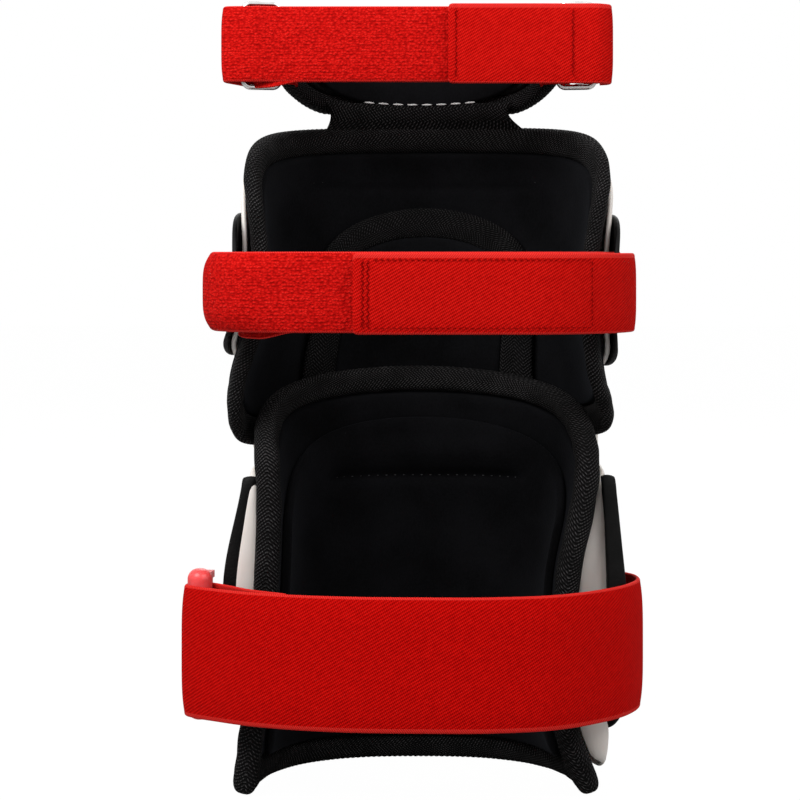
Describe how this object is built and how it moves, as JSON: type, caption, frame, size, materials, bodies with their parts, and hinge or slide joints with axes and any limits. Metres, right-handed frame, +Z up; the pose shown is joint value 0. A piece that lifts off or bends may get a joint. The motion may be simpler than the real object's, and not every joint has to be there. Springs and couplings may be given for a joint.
{
  "type": "ice hockey shin guard",
  "caption": "Junior ice hockey shin guard: padded liners in hard shells, hinged knee cap, folding thigh flap, hook-and-loop straps and a clip-on calf strap.",
  "frame": {"origin": "centre of the box at the floor, under the standing guard", "axes": "+Z up the leg, +Y out of the front of the shells, -Y the open leg side, +X to the right seen from behind"},
  "size_m": [0.226, 0.1576, 0.39],
  "materials": {
    "white_shell": "moulded polyethylene, satin",
    "black_moulding": "flexible black moulding, fine grain",
    "black_lining": "brushed knit over foam",
    "black_binding": "wide herringbone tape binding",
    "red_webbing": "red twill elastic with loop pile",
    "hook_tape": "hook tape",
    "red_hook": "moulded, slightly translucent",
    "rivet_steel": "domed rivets",
    "ring_chrome": "polished wire"
  },
  "bodies": {
    "shin": {"calf_wing_left": "black_moulding", "calf_wing_right": "black_moulding", "calf_wing_rivet_left_lower": "rivet_steel", "calf_wing_rivet_left_upper": "rivet_steel", "calf_wing_rivet_right_lower": "rivet_steel", "calf_wing_rivet_right_upper": "rivet_steel", "hook_catch": "white_shell", "hook_catch_rivet_lower": "rivet_steel", "hook_catch_rivet_upper": "rivet_steel", "lower_strap": "red_webbing", "shin_liner": "black_lining", "shin_liner_binding": "black_binding", "shin_pad": "black_lining", "shin_shell": "white_shell", "strap_anchor": "red_webbing", "strap_anchor_rivet_lower": "rivet_steel", "strap_anchor_rivet_upper": "rivet_steel"},
    "knee": {"knee_liner": "black_lining", "knee_liner_binding": "black_binding", "knee_pad": "black_lining", "knee_pad_binding": "black_binding", "knee_pivot_left": "rivet_steel", "knee_pivot_right": "rivet_steel", "knee_shell": "white_shell", "knee_wing_left": "black_moulding", "knee_wing_right": "black_moulding", "knee_wing_rivet_left_lower": "rivet_steel", "knee_wing_rivet_left_upper": "rivet_steel", "knee_wing_rivet_right_lower": "rivet_steel", "knee_wing_rivet_right_upper": "rivet_steel", "middle_strap_band": "red_webbing", "thigh_web_lower": "black_lining"},
    "thigh": {"keeper_left": "red_webbing", "keeper_right": "red_webbing", "ring_left": "ring_chrome", "ring_right": "ring_chrome", "thigh_flap": "black_lining", "thigh_flap_binding": "black_binding", "thigh_pad": "black_lining", "thigh_web_upper": "black_lining", "top_strap_band": "red_webbing"},
    "top_tab": {"top_strap_tab": "red_webbing", "top_hook_patch": "hook_tape"},
    "middle_tab": {"middle_strap_tab": "red_webbing", "middle_hook_patch": "hook_tape"},
    "hook": {"strap_hook": "red_hook"}
  },
  "joints": [
    {"name": "knee_flex", "type": "hinge", "parent": "shin", "child": "knee", "pos_m": [0, 0.0244, 0.1445], "axis": [1, 0, 0], "range_deg": [-4, 4]},
    {"name": "thigh_fold", "type": "hinge", "parent": "knee", "child": "thigh", "pos_m": [0, 0.04926, 0.33275], "axis": [1, 0, 0], "range_deg": [-18, 12]},
    {"name": "top_tab_peel", "type": "hinge", "parent": "thigh", "child": "top_tab", "pos_m": [0.093, 0.0012, 0.3675], "axis": [0, 0, 1], "range_deg": [0, 100]},
    {"name": "middle_tab_peel", "type": "hinge", "parent": "knee", "child": "middle_tab", "pos_m": [0.10127, -0.02423, 0.244], "axis": [0, 0, 1], "range_deg": [0, 100]},
    {"name": "hook_swing", "type": "hinge", "parent": "shin", "child": "hook", "pos_m": [-0.1043, -0.0375, 0.0723], "axis": [0, 0, 1], "range_deg": [0, 35]}
  ]
}
